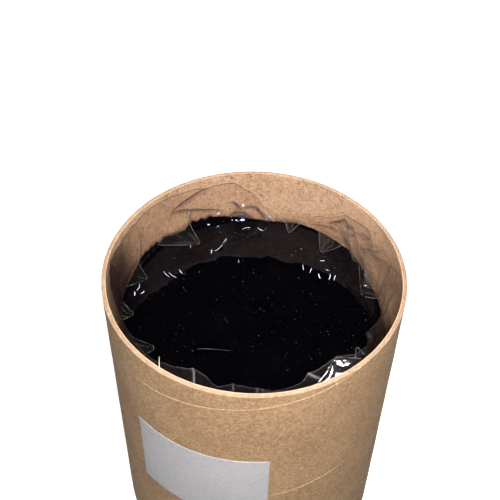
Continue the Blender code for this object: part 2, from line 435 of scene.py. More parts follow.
hoop_section = rounded(hoop_high.x - HOOP_WALL, hoop_high.x, hoop_low.z, hoop_high.z, SOFT_CORNER)
hoop = ring_piece("base_hoop_board", hoop_section, 360, board_ripple)
mark(hoop, "cut", 0.15)
seat(hoop, "drum", "fibreboard", board, "base_hoop")

disc_low, disc_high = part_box("base_disc")
steps_in = np.linspace(1, 0, 28)[1:, None]
rim_of_disc = rounded(0.0, disc_high.x, disc_low.z, disc_high.z, SOFT_CORNER)[:10]
top_face = np.column_stack([(disc_high.x - SOFT_CORNER) * steps_in, np.full(27, disc_high.z)])
bottom_face = top_face[::-1] * [1, 0] + [0, disc_low.z]
disc_profile = np.concatenate([bottom_face, rim_of_disc, top_face])
disc_angle = np.linspace(0, 2 * np.pi, 240, endpoint=False)[None, :]
disc_points = polar(disc_profile[:, :1], disc_angle, disc_profile[:, 1:])
warp = 0.12 * MM * waves(disc_angle, disc_profile[:, :1], 33, 1, 9, climb=90)
disc_points[..., 2] += warp * (disc_profile[:, :1] < disc_high.x - 2 * MM)
disc_along = np.cumsum(np.hypot(*np.diff(disc_profile, axis=0, prepend=disc_profile[:1]).T))
disc = piece_from_grid(
    "base_disc_board", disc_points, (np.linspace(0, 0.6, 241), disc_along), around=True, merge=POLE_GAP
)
mark(disc, "cut", 0.0)
seat(disc, "drum", "fibreboard", board, "base_disc")

steel, tree, shader = new_material("staple_steel")
place = put(tree, "TexCoord").outputs["Object"]
drawn = noise(tree, put(tree, "Mapping", {"Vector": place, "Scale": (1, 1, 9)}).outputs[0], 900, 2)
wire = mixed(tree, ramp(tree, drawn, 0.35, 0.7), (0.34, 0.32, 0.29, 1), (0.66, 0.64, 0.60, 1))
tree.links.new(wire, shader.inputs["Base Color"])
tree.links.new(ramp(tree, drawn, 0.3, 0.7, 0.28, 0.5), shader.inputs["Roughness"])
shader.inputs["Metallic"].default_value = 1.0
for name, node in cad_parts.items():
    if name.startswith("staple"):
        node.data.materials.clear()
        node.data.materials.append(steel)

# ----------------------------------------------------------------------- label
# A blank sheet of white paper, glued to the wrap. Its corners have let go a
# little, and the glue has cockled it in faint upright waves.
LABEL_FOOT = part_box("label")[0].z
LABEL_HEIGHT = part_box("label")[1].z - LABEL_FOOT
LABEL_LEFT = np.radians(-138)
LABEL_WIDTH = 100 * MM
LABEL_PAPER = 0.11 * MM
LABEL_LIFT = 0.5 * MM
part_u = np.linspace(0, 1, 120)[None, :]
part_v = np.linspace(0, 1, 80)[:, None]
label_angle = LABEL_LEFT + part_u * LABEL_WIDTH / WRAP_OUT
label_z = LABEL_FOOT + part_v * LABEL_HEIGHT
corner = (np.abs(2 * part_u - 1) * np.abs(2 * part_v - 1)) ** 14
cockle = 0.06 * MM * waves(label_angle, label_z, 41, 20, 70, climb=25)
label_r = WRAP_OUT + 0.28 * MM + cockle + LABEL_LIFT * corner
label_uv = (part_u[0] * LABEL_WIDTH, part_v[:, 0] * LABEL_HEIGHT)
label = piece_from_grid("blank_label", polar(label_r, label_angle, label_z), label_uv)
sheet = label.modifiers.new("Paper", "SOLIDIFY")
sheet.thickness = LABEL_PAPER
sheet.offset = -1
mark(label, "cut", 0.0)
white_paper = paper_material("label_paper", (0.67, 0.67, 0.70), (0.54, 0.54, 0.575), 0.0, 0.25, 0.75)
seat(label, "drum", "label_paper", white_paper, "label")

# -------------------------------------------------------------------- film bag
# Clear plastic film, a loose bag wider than the drum. Below the rosin it is
# pressed to the wall. Above, it was left to crumple: it clings to the wall at
# the back and leans in at the front, and folds of it lie over on the rosin.
BAG_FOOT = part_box("liner_bag")[0].z
MENISCUS = 2.5 * MM
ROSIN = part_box("rosin_cake")[1].z - MENISCUS
FILM_GAP = 0.35 * MM
STAND_OFF_DEPTH = 15 * MM
FOOT_ROUND = 4 * MM

# By angle in degrees: how far the bag's edge is below the rim, how far it stands
# off the wall at that edge and at the rosin, and how far it bellies in between,
# all in millimetres; how much painted shadow darkens the film, mostly the rim's shadow on the left inside;
# and how far the rosin climbed it.
BAG_MOUTH = np.array([
    (-170, 3.0, 2.5, 5.0, 3.0, 0.95, 1.0), (-160, 6.0, 5.0, 6.0, 2.0, 0.75, 1.0),
    (-150, 8.0, 6.0, 8.0, 0.0, 0.3, 1.0), (-140, 5.0, 4.0, 6.0, 1.0, 0.05, 1.0),
    (-130, 7.0, 5.0, 5.0, 0.0, 0.0, 1.5), (-127, 9.0, 9.0, 4.0, 0.0, 0.0, 1.5),
    (-119, 10.0, 13.5, 5.0, 0.0, 0.0, 1.0), (-112, 10.0, 14.5, 5.0, 0.0, 0.0, 1.0),
    (-103, 8.0, 8.0, 3.0, 0.0, 0.0, 1.0), (-98, 10.0, 12.0, 4.0, 0.0, 0.0, 1.0),
    (-89, 9.0, 9.5, 3.0, 0.0, 0.0, 1.5), (-82, 8.0, 6.0, 3.0, 0.0, 0.0, 1.0),
    (-75, 9.0, 8.0, 3.0, 0.0, 0.0, 1.0), (-65, 10.0, 14.0, 4.0, 0.0, 0.0, 1.0),
    (-57, 9.0, 15.0, 5.0, 0.0, 0.0, 1.5), (-51, 8.0, 17.0, 6.0, 0.0, 0.0, 1.5),
    (-43, 9.0, 9.0, 6.0, 0.0, 0.05, 1.5), (-38, 7.0, 7.0, 8.0, 0.0, 0.15, 1.0),
    (-30, 15.0, 14.0, 12.0, 0.0, 0.25, 1.0), (-22, 24.0, 15.0, 12.0, 0.0, 0.3, 1.0),
    (-15, 20.0, 12.0, 10.0, 0.0, 0.2, 1.0), (-8, 3.0, 3.0, 9.0, 1.0, 0.08, 1.0),
    (2, 2.0, 2.0, 8.0, 1.5, 0.03, 1.0), (10, 5.0, 2.5, 8.0, 1.0, 0.02, 0.8),
    (18, 6.0, 3.0, 8.0, 1.0, 0.0, 0.8), (24, 12.0, 3.0, 7.0, 1.0, 0.0, 0.8),
    (31, 9.0, 2.0, 5.0, 1.0, 0.0, 0.8), (40, 11.0, 1.5, 2.5, 1.0, 0.0, 0.8),
    (46, 12.0, 1.5, 2.0, 1.5, 0.0, 1.0), (54, 25.0, 2.0, 1.5, 1.5, 0.0, 1.0),
    (61, 30.0, 1.5, 1.5, 1.0, 0.0, 2.0), (68, 35.0, 1.5, 1.5, 1.0, 0.0, 2.0),
    (80, 38.0, 2.0, 3.0, 0.0, 0.0, 0.8), (86, 31.0, 2.0, 3.0, 1.0, 0.0, 0.8),
    (90, 20.0, 1.5, 3.0, 2.0, 0.0, 1.5), (95, 14.0, 1.0, 3.0, 2.0, 0.0, 2.5),
    (99, 8.0, 0.7, 2.0, 1.5, 0.0, 4.0), (111, 7.5, 0.5, 1.0, 0.8, 0.0, 7.0),
    (120, 6.0, 0.5, 1.0, 0.5, 0.0, 8.0), (124, 5.5, 0.5, 1.5, 0.5, 0.0, 2.0),
    (132, 3.5, 0.5, 1.0, 0.3, 0.0, 4.0), (140, 3.5, 0.5, 1.5, 0.4, 0.0, 6.0),
    (150, 4.0, 0.8, 2.0, 1.0, 0.04, 6.0), (152.5, 4.0, 1.0, 3.0, 3.0, 0.10, 5.0),
    (160, 4.0, 2.0, 4.0, 5.0, 0.3, 2.5), (170, 1.5, 1.5, 4.0, 5.0, 0.85, 1.0),
    (180, 1.5, 1.5, 4.0, 4.0, 1.0, 1.0),
])


def bag_mouth(angle):
    """The six columns of BAG_MOUTH at the angles given, in metres, and plain for the painted shadow."""
    degrees = np.degrees(angle)
    columns = [np.interp(degrees, BAG_MOUTH[:, 0], column, period=360) for column in BAG_MOUTH[:, 1:].T]
    # The fifth column is painted shadow on the film.
    edge, gap_edge, gap_foot, belly, shade_and_smear, climbed = columns
    climbed = climbed * (1 + 0.16 * waves(angle, 0.0, 54, 20, 110, count=20))
    return edge * MM, gap_edge * MM, gap_foot * MM, belly * MM, shade_and_smear, climbed * MM


def facets(angle, height, seed, lowest, highest, climb, count=7):
    """Flat facets between sharp creases: a mean of triangle waves in many directions.

    Each wave runs a whole number of times round the drum and leans by its own
    slope. Its phase sways a little, so that no crease is quite straight.
    """
    dice = np.random.default_rng(seed)
    turns = dice.integers(lowest, highest, count)
    slopes = dice.uniform(-climb, climb, count)
    phases = dice.uniform(0, 1, count)
    sway = 0.10 * np.sin(5 * angle + 60 * height) + 0.08 * np.sin(11 * angle - 45 * height + 2)
    total = 0.0
    for turn, slope, phase in zip(turns, slopes, phases):
        wave = turn * angle / (2 * np.pi) + slope * height + phase + sway
        total = total + 2 * np.abs(2 * np.mod(wave, 1) - 1) - 1
    return total / np.sqrt(count)


def pressed_bag(angle, height):
    """The bag's radius where the rosin presses it to the wall.

    It is the bore less the film's gap, less the stand-off at the rosin, which dies
    away with depth, less coarse and fine crumples and a rounding at the foot.
    """
    _, _, gap_foot, _, _, climbed = bag_mouth(angle)
    depth = np.maximum(ROSIN + climbed - height, 0)
    coarse = 0.22 * MM * (1.5 + facets(angle, height, 51, 20, 60, 90))
    fine = 0.10 * MM * (1.5 + facets(angle, height, 52, 60, 130, 260))
    above_foot = np.clip((height - BAG_FOOT) / FOOT_ROUND, 0, 1)
    rounding = FOOT_ROUND * (1 - np.sqrt(1 - (1 - above_foot) ** 2))
    stand_off = gap_foot * np.exp(-depth / STAND_OFF_DEPTH)
    return BORE - FILM_GAP - stand_off - coarse - fine - rounding


# Creases, each as points of angle in degrees and millimetres below the rim, then
# how far it stands in from the sheet and how far that reaches, in millimetres, and
# how dark its line of painted shade is and how bright its line of painted highlight is.
CREASES = (
    (((151.4, 0), (150.8, 13), (150.6, 22), (154.4, 26), (158, 30)), 1.6, 3.5, 0.25, 0.0),
    (((131, 18), (124.3, 21), (118, 25), (111, 30), (103.8, 33)), 1.5, 3.0, 0.9, 0.0),
    (((131, 17), (128.7, 15.7), (124, 13.5), (119, 11), (115, 8.5), (111, 8)), 1.4, 3.5, 0.9, 0.0),
    (((132.6, 4), (132, 9), (132.4, 15)), 1.0, 2.0, 0.0, 0.35),
    (((135.5, 5), (133, 9), (129.5, 14)), 1.0, 2.0, 0.3, 0.25),
    (((103.9, 42), (102.4, 37.2), (100.1, 33), (95.5, 31.6), (92.3, 36.6), (89.5, 43)), 3.2, 2.5, 1.0, 0.0),
    (((101.5, 42), (98, 36.5), (94.8, 35), (92, 40)), 1.0, 1.5, 0.7, 0.1),
    (((100.8, 23.7), (98, 27), (96, 30.4)), 1.5, 2.5, 1.0, 0.0),
    (((96, 27.8), (92.4, 28), (88.7, 29.5), (86.8, 34), (85.4, 39.3), (83.9, 44.5)), 2.4, 2.5, 0.9, 0.05),
    (((88, 31), (86.4, 34), (84.5, 38), (81.6, 43), (79.9, 45.6)), 2.2, 2.0, 0.7, 0.3),
    (((120.5, 24), (121.2, 32), (121.9, 40)), 1.5, 2.0, 0.6, 0.0),
    (((62, 37), (57, 35), (51, 30), (46, 29)), 1.5, 3.0, 0.5, 0.0),
    (((54, 29), (49.9, 22), (45, 14.5), (40, 16), (33.6, 14.5)), 2.0, 2.0, 1.0, 0.0),
    (((30.8, 22), (25.8, 17), (22.3, 14.5), (18, 9)), 2.5, 3.0, 1.0, 0.0),
    (((41.3, 27), (38.4, 32.6), (35.6, 38.3), (33.9, 41)), 4.5, 3.5, 1.0, 0.0),
    (((46, 18), (41, 24), (34, 33), (27, 40)), 3.2, 3.5, 0.35, 0.0),
    (((37, 15), (30, 23), (24, 31), (17, 39)), 3.5, 3.5, 0.5, 0.0),
    (((28, 16), (24, 21), (17, 28), (10, 33)), 3.0, 3.0, 0.6, 0.0),
    (((21, 28), (18.4, 33), (13.5, 35), (8.8, 34.3)), 3.0, 3.5, 0.9, 0.0),
    (((14, 9), (13, 17), (10, 25), (4, 31)), 2.6, 3.5, 0.5, 0.0),
    (((6.2, 2), (6.1, 12.5), (5, 27)), 2.2, 3.0, 0.8, 0.0),
    (((-2, 4), (-1, 16), (-4, 28)), 2.0, 3.0, 0.6, 0.0),
    (((-24, 24), (-20, 32), (-19, 42)), 3.0, 4.0, 0.1, 0.15),
    (((42, 14), (39.5, 23.5), (36.4, 34), (33, 40)), 2.4, 3.0, 0.9, 0.0),
    (((35, 14), (26, 11), (21, 16.5), (9.5, 7)), 2.0, 3.0, 0.9, 0.0),
    (((26, 22), (21, 31), (15, 38)), 3.0, 3.0, 1.0, 0.1),
    (((34, 26), (27, 33.5), (20, 38)), 2.6, 2.6, 0.9, 0.1),
    (((3, 6), (3.4, 20), (2.6, 36)), 2.0, 2.0, 1.0, 0.0),
    (((48, 24), (42, 21), (35, 19), (27, 27)), 2.6, 3.5, 0.6, 0.12),
    # These last creases carry only painted highlights, bright streaks where the lamp would glint on the
    # film.
    (((-117.5, 8), (-115.5, 12), (-114, 18), (-114, 30)), 2.0, 3.0, 0.0, 0.45),
    (((-67.5, 8), (-65, 11), (-61, 15)), 2.0, 2.5, 0.0, 0.5),
    (((-88, 9), (-88.5, 16)), 1.2, 2.0, 0.0, 0.2),
    (((-84.5, 9), (-84, 14)), 1.0, 1.5, 0.0, 0.15),
    (((-86, 8), (-86, 14)), 1.0, 1.5, 0.0, 0.15),
    (((-98, 10), (-97.5, 16)), 1.2, 2.0, 0.0, 0.2),
)
CREASE_LINE = 0.48 * MM


def crease_field(angle, drop):
    """How far the creases stand in, and the film's painted crease shade and painted highlight, over a grid.

    Each crease is a tent over the unrolled wall: its height times exp of minus the distance to it over its
    reach. Its lines of painted shade and of painted highlight are narrow humps of that distance, with a
    faint broad painted shade below them, where the film also lies double, and both fade towards its ends.
    """
    stand, dark, white = (np.zeros(np.broadcast(angle, drop).shape) for _ in range(3))
    for points, height, reach, darkness, whiteness in CREASES:
        place = np.array(points) * [np.radians(1) * BORE, MM]
        steps = np.hypot(*np.diff(place, axis=0).T)
        start = np.concatenate([[0], np.cumsum(steps)])
        gap = np.full(stand.shape, 1.0)
        below, along = (np.zeros(stand.shape) for _ in range(2))
        for number, (run, length) in enumerate(zip(np.diff(place, axis=0), steps)):
            x = np.angle(np.exp(1j * (angle - place[number, 0] / BORE))) * BORE
            y = drop - place[number, 1]
            share = np.clip((x * run[0] + y * run[1]) / length**2, 0, 1)
            here = np.hypot(x - share * run[0], y - share * run[1])
            nearer = here < gap
            along = np.where(nearer, (start[number] + share * length) / start[-1], along)
            below = np.where(nearer, y - share * run[1], below)
            gap = np.where(nearer, here, gap)
        stand += height * MM * np.exp(-gap / (reach * MM))
        fade = np.clip(4 * along * (1 - along), 0.0, 1) ** 0.6
        # Painted shade along each crease and in a broad band below it, and a painted highlight line beside
        # it.
        broad = 0.38 * bump(gap, 0, 0.8 * reach * MM) * (below > 0)
        dark = np.maximum(dark, darkness * fade * np.maximum(bump(gap, 0, CREASE_LINE), broad))
        white = np.maximum(white, whiteness * fade * bump(gap, 0.8 * MM * (darkness > 0), 0.4 * MM))
    return stand, dark, white


def loose_bag(angle, part):
    """Radius and height of the free film, for part 0 at the rosin to 1 at its edge.

    The stand-off runs from that at the rosin to that at the edge, plus a belly, the
    creases, faint crumples and one arch at the back, and the film never enters the
    wall. Where the bag leans in at the front, it does so mostly near its edge.
    """
    edge, gap_edge, gap_foot, belly, _, climbed = bag_mouth(angle)
    height = ROSIN + climbed + part * (RIM - edge - ROSIN - climbed)
    free = np.clip((gap_edge + gap_foot + belly) / (9 * MM), 0.2, 1.0)
    fade = np.clip(part / 0.12, 0, 1)
    coarse = 0.9 * MM * facets(angle, height, 61, 7, 26, 45)
    crumple = coarse + 0.35 * MM * facets(angle, height, 62, 24, 60, 110)
    arch = bump(np.degrees(angle), 96.5, 4.0) * bump(height, ROSIN + 8 * MM, 3.5 * MM)
    lean = 1.5 + 2.5 * bump(np.degrees(angle), -57, 12) + 1.5 * bump(np.degrees(angle), -115, 10)
    off = gap_foot + (gap_edge - gap_foot) * part**lean + 4 * belly * part * (1 - part)
    off = off + free * fade * crumple + fade * crease_field(angle, RIM - height)[0] + 3.5 * MM * arch
    off = 0.5 * (off + np.sqrt(off * off + (0.5 * MM) ** 2))
    return BORE - FILM_GAP - off, height


def creases(points, step):
    """How sharply a grid bends at each point: its second differences over a step length."""
    bend = 0.0
    for axis in (0, 1):
        after, before = np.roll(points, -1, axis), np.roll(points, 1, axis)
        second = np.linalg.norm(after + before - 2 * points, axis=-1)
        if axis == 0:
            second[[0, -1]] = 0
        bend = bend + second
    return np.clip(bend / step - 0.12, 0, 1)


bag_angle = np.linspace(-np.pi, np.pi, 480, endpoint=False)[None, :]
floor_part = np.linspace(0, 1, 8)[:-1, None]
side_part = np.linspace(0, 1, 64)[:, None]
contact = ROSIN + bag_mouth(bag_angle)[5]
side_height = BAG_FOOT + side_part * (contact - BAG_FOOT)
bag_floor = polar(floor_part * pressed_bag(bag_angle, BAG_FOOT), bag_angle, BAG_FOOT)
bag_side = polar(pressed_bag(bag_angle, side_height), bag_angle, side_height)
bag_points = np.concatenate([bag_floor, bag_side])
bag_round = np.linspace(0, 2 * np.pi * BORE, bag_angle.size + 1)
bag_up = np.linspace(0, 0.29, len(bag_points))
bag = piece_from_grid("film_sleeve", bag_points, (bag_round, bag_up), around=True, merge=POLE_GAP)

MOUTH_COLUMNS = 1120
mouth_angle = np.linspace(-np.pi, np.pi, MOUTH_COLUMNS, endpoint=False)[None, :]
mouth_part = np.concatenate([np.linspace(0, 0.985, 80), [0.993, 1.0]])[:, None]
mouth_r, mouth_z = loose_bag(mouth_angle, mouth_part)
foot_r = pressed_bag(mouth_angle, ROSIN + bag_mouth(mouth_angle)[5])
mouth_r = mouth_r + (foot_r - mouth_r[:1]) * np.clip(1 - mouth_part / 0.15, 0, 1)
mouth_points = polar(mouth_r, mouth_angle, mouth_z)
mouth_round = np.linspace(0, 2 * np.pi * BORE, MOUTH_COLUMNS + 1)
mouth_up = np.linspace(0.29, 0.33, len(mouth_points))
mouth = piece_from_grid("film_mouth", mouth_points, (mouth_round, mouth_up), around=True)

# The film is darkened by painted shadow, mostly on the left inside, by painted shade under the arch, and
# where the hot rosin smeared it; one patch at the right has a painted sheen, a pale painted highlight.
# Painted shade and painted highlights along the creases.
_, crease_shade_line, painted_highlight_line = crease_field(mouth_angle, RIM - mouth_z)
# Painted shade in the hollow under the arch, where the film stands off the wall.
painted_arch_shade = bump(np.degrees(mouth_angle), 96.5, 3.0) * bump(mouth_z, ROSIN + 7 * MM, 3.2 * MM)
smear = 0.9 * np.exp(-(mouth_z - mouth_z[:1]) / (1.3 * MM))
smear = smear * (1 + 0.4 * waves(mouth_angle, 0.0, 55, 9, 60))
smear = np.clip(smear, 0, 1) * (np.abs(np.degrees(mouth_angle) - 118) < 50)
# Painted shadow and painted shade, together with the real smear of rosin.
mouth_shade_and_smear = np.maximum(np.maximum(bag_mouth(mouth_angle)[4], painted_arch_shade), smear)
# A painted highlight: a pale haze where a film facet would mirror the lamp.
painted_sheen = 0.16 * bump(np.degrees(mouth_angle), 45, 3.5) * bump(RIM - mouth_z, 33 * MM, 3.5 * MM)
# The top rows are the film's cut edge, drawn with painted shade over paper and a painted highlight over
# rosin.
mouth_edge = np.zeros(mouth_z.shape)
mouth_edge[-2:] = 1.0
mark(mouth, "edge", mouth_edge.ravel())
mark(mouth, "shade_and_smear", mouth_shade_and_smear.ravel())
# Painted shade where the film bends sharply, as well as along the listed creases.
painted_crease_shade = np.maximum(np.minimum(1.3 * crease_shade_line, 1), 0.35 * creases(mouth_points, 0.45 * MM))
mark(mouth, "crease", painted_crease_shade.ravel())
mark(mouth, "white", np.maximum(painted_highlight_line, painted_sheen).ravel())


FILM_MARKS = ("edge", "shade_and_smear", "crease", "white")


def film_material():
    """Clear film: see-through, with a mirror share that grows with the slant.

    Painted shade and painted highlight: a cut edge or a crease passes less light and scatters some, so that
    it looks dark over paper and pale over rosin. Where painted shadow or rosin smear is marked, the film
    passes less light all over, and marked painted highlights get a pale haze.
    """
    material = bpy.data.materials.new("clear_film")
    material.use_nodes = True
    tree = material.node_tree
    tree.nodes.clear()
    edge, shade_and_smear, crease, white = (
        put(tree, "Attribute", attribute_name=name).outputs["Fac"] for name in FILM_MARKS
    )
    # Painted shadow and painted shade darken the tint, and so does the real smear of rosin.
    tint = mixed(tree, shade_and_smear, (0.965, 0.945, 0.93, 1), (0.27, 0.235, 0.27, 1))
    line = calc(tree, "MAXIMUM", edge, crease)
    # Painted shade at cut edges and creases.
    tint = mixed(tree, line, tint, (0.30, 0.23, 0.21, 1))
    clear = put(tree, "BsdfTransparent", {"Color": tint}).outputs[0]
    shine = put(tree, "BsdfAnisotropic", {"Color": (0.95, 0.96, 1, 1), "Roughness": 0.10}).outputs[0]
    haze = put(tree, "BsdfDiffuse", {"Color": (0.78, 0.78, 0.82, 1)}).outputs[0]
    slant = put(tree, "LayerWeight").outputs["Facing"]
    mirror = calc(tree, "MULTIPLY_ADD", calc(tree, "POWER", slant, 3.6), 0.62, 0.058)
    glossy = put(tree, "MixShader", {0: mirror, 1: clear, 2: shine}).outputs[0]
    # Painted highlights: a pale diffuse haze at edges, creases and the marked highlights.
    scatter = calc(tree, "MULTIPLY_ADD", line, 0.07, 0.004)
    scatter = calc(tree, "MULTIPLY_ADD", white, 0.5, scatter)
    surface = put(tree, "MixShader", {0: scatter, 1: glossy, 2: haze}).outputs[0]
    result = put(tree, "OutputMaterial")
    tree.links.new(surface, result.inputs["Surface"])
    return material


film = film_material()
for name in FILM_MARKS:
    mark(bag, name, 0.0)
seat(bag, "cake", "liner_film", film, "liner_bag")
seat(mouth, "cake", "liner_film", film)

# Folds of the same film. Most lie over on the rosin. Each is a tongue between two
# places on the wall and a rounded tip, given by angle in degrees, radius in
# hundredths of the bore's and height above the rosin in millimetres, then the
# radius of the tip's own rounding in millimetres.
FOLDS = {
    "left_back": ((140, 97.5, 4), (121, 98.5, 7), (123.0, 83.0, 0.8), 3.4),
    "left": ((153, 98, 6), (169, 98, 3), (159.0, 87.5, 0.9), 3.0),
    "left_front": ((174, 98, 4), (-171, 97, 5), (-178.0, 88.5, 0.9), 3.2),
    "front_left": ((-166, 96, 7), (-150, 94, 6), (-154.5, 79.0, 1.2), 3.6),
    "back_right": ((59.5, 98.5, 3), (44, 97.5, 5), (50.5, 83.5, 0.8), 3.2),
    "back": ((76.5, 98, 3), (68, 98.5, 4), (71.9, 87.0, 0.7), 0.9),
    "right": ((36, 97, 6), (7, 93.5, 5), (14.0, 83.5, 1.0), 2.8),
    "right_small": ((24, 93, 3), (13, 92, 4), (18.5, 87.5, 2.0), 2.2),
    "front_facet": ((-70, 96.5, 25.4), (-46, 97, 42.5), (-53.4, 87.2, 42.0), 0.5),
    "front_loop": ((-46.5, 93, 39), (-42.0, 95, 38), (-43.2, 90.5, 41.5), 1.2),
}
LYING_TIP = 5
FOLD_EDGE = 0.22 * MM


def tongue(name, left, right, tip, round_tip, seed):
    """A tongue of film, ruled from a line on the wall to an arc of its rounded tip.

    Its height runs from the wall's to the tip's with the way left to go, squared
    for a tongue that lies on the rosin, and shallow pleats run down it.
    """
    across = 0.5 - 0.5 * np.cos(np.linspace(0, np.pi, 44))[None, :]
    out = 0.5 - 0.5 * np.cos(np.linspace(0, np.pi, 36))[:, None]
    ends = np.array([left, right, tip], float)
    angle = np.radians(ends[:, 0])
    flat = ends[:, 1:2] / 100 * BORE * np.column_stack([np.cos(angle), np.sin(angle)])
    turn = np.angle(np.exp(1j * (angle[1] - angle[0])))
    root_angle = angle[0] + turn * across
    root_r = (ends[0, 1] + (ends[1, 1] - ends[0, 1]) * across) / 100 * BORE
    root_z = (ends[0, 2] + (ends[1, 2] - ends[0, 2]) * across) * MM
    root = np.stack([root_r * np.cos(root_angle), root_r * np.sin(root_angle)], axis=-1)
    sides = (flat[2] - flat[0], flat[1] - flat[2])
    headings = [np.arctan2(side[1], side[0]) for side in sides]
    swing = np.angle(np.exp(1j * (headings[1] - headings[0])))
    facing = headings[0] + swing * across - np.sign(swing) * np.pi / 2
    arc = flat[2] + round_tip * MM * np.stack([np.cos(facing), np.sin(facing)], axis=-1)
    path = root + (arc - root) * out[..., None]
    to_go = 1 - out
    on_rosin = tip[2] < LYING_TIP
    sag = to_go**2 if on_rosin else to_go
    dice = np.random.default_rng(seed)
    pleat = 0.0
    for size in (1.0, 0.7, 0.5):
        count, lean, start = dice.uniform((1.2, -1.5, 0), (3.2, 1.5, 1))
        pleat = pleat + size * np.abs(2 * np.mod(count * across + lean * out + start, 1) - 1)
    depth_of_pleat = 0.75 * MM * (0.3 + to_go) if on_rosin else 0.45 * MM
    height = ROSIN + ends[2, 2] * MM + (root_z - ends[2, 2] * MM) * sag + depth_of_pleat * pleat
    points = np.concatenate([path, height[..., None]], axis=-1)
    breadth = np.linalg.norm(root[0, -1] - root[0, 0]) * to_go + 2 * round_tip * MM * out
    side_gap = np.minimum(across, 1 - across) * breadth
    tip_gap = to_go * np.linalg.norm(flat[2] - flat[0])
    edge = np.clip(1.2 - np.minimum(side_gap, tip_gap) / FOLD_EDGE, 0, 1)
    if turn > 0:
        points, edge = points[:, ::-1], edge[:, ::-1]
    fold = piece_from_grid("film_fold_" + name, points, (across[0] * 20 * MM, out[:, 0] * 20 * MM))
    # The fold's edge gets painted shade and a painted highlight line, and its bends a little painted shade.
    mark(fold, "edge", edge.ravel())
    mark(fold, "shade_and_smear", 0.0)
    mark(fold, "crease", 0.18 * creases(points, 0.5 * MM).ravel())
    mark(fold, "white", 0.7 * edge.ravel())
    seat(fold, "cake", "liner_film", film)


for number, (fold_name, shape_of_it) in enumerate(FOLDS.items()):
    tongue(fold_name, *shape_of_it, 70 + number)

# ------------------------------------------------------------------ rosin cake
# Rosin poured hot and left to set: near-black glass, with the bag's crumples
# cast into its side. Its top is a mirror that climbs the film at the edge, with
# a few wrinkles of skin and the dust that fell on it.
CAKE_SKIN = 0.2 * MM
MENISCUS_WIDTH = 1.6 * MM
CAKE_COLUMNS = 640
cake_angle = np.linspace(-np.pi, np.pi, CAKE_COLUMNS, endpoint=False)[None, :]
cake_foot = BAG_FOOT + 0.25 * MM
cake_top_edge = ROSIN + bag_mouth(cake_angle)[5]
edge_r = pressed_bag(cake_angle, cake_top_edge) - CAKE_SKIN
low_rows = np.linspace(0, 1, 8)[:-1, None] * (pressed_bag(cake_angle, cake_foot) - CAKE_SKIN)
side_z = cake_foot + np.linspace(0, 1, 34)[:-1, None] * (cake_top_edge - cake_foot)
inward = np.concatenate([np.linspace(0, 0.12, 34), np.linspace(0.14, 1, 58)])[:, None]
top_r = edge_r * (1 - inward)
from_film = edge_r - top_r
ripple = waves(cake_angle, top_r, 81, 2, 22, count=30, climb=480)
ripple = ripple * np.clip(top_r / (55 * MM), 0, 1) ** 2
pucker = waves(cake_angle, top_r, 83, 30, 95, count=24, climb=260)
pucker = pucker * np.clip(top_r / (60 * MM), 0, 1) ** 3
settled = ROSIN + (0.07 * ripple + 0.014 * pucker) * MM * (1 - (1 - inward) ** 2) * 2 * (1 - inward)
meniscus = (cake_top_edge - ROSIN) * np.exp(-from_film / MENISCUS_WIDTH) * (1 - inward)
cake_points = np.concatenate([
    polar(low_rows, cake_angle, cake_foot),
    polar(pressed_bag(cake_angle, side_z) - CAKE_SKIN, cake_angle, side_z),
    polar(top_r, cake_angle, settled + meniscus),
])
cake_round = np.linspace(0, 2 * np.pi * BORE, CAKE_COLUMNS + 1)
cake_up = np.linspace(0, 0.5, len(cake_points))
cake = piece_from_grid("rosin_block", cake_points, (cake_round, cake_up), around=True, merge=POLE_GAP)


def rosin_material(name, tint):
    """Near-black glass, a little bloomed in clouds, with fine motes; tint colours its mirror."""
    material, tree, shader = new_material(name)
    place = put(tree, "TexCoord").outputs["Object"]
    bloom = ramp(tree, noise(tree, place, 38, 4, 0.6), 0.45, 0.75)
    motes = ramp(tree, noise(tree, place, 1500, 1), 0.70, 0.78)
    colour = mixed(tree, bloom, (0.0006, 0.0004, 0.0010, 1), (0.0016, 0.0012, 0.0022, 1))
    colour = mixed(tree, calc(tree, "MULTIPLY", motes, 0.5), colour, (0.09, 0.07, 0.07, 1))
    tree.links.new(colour, shader.inputs["Base Color"])
    tree.links.new(ramp(tree, bloom, 0, 1, 0.035, 0.085), shader.inputs["Roughness"])
    shader.inputs["IOR"].default_value = 1.46
    shader.inputs["Specular Tint"].default_value = (*tint, 1)
    return material


rosin = rosin_material("black_rosin", (0.44, 0.57, 1.0))
rosin_skin = rosin_material("rosin_skin", (0.24, 0.25, 0.30))
seat(cake, "cake", "black_rosin", rosin, "rosin_cake")


WRINKLE_LEAN = 48.2
FACED = (12, -420)


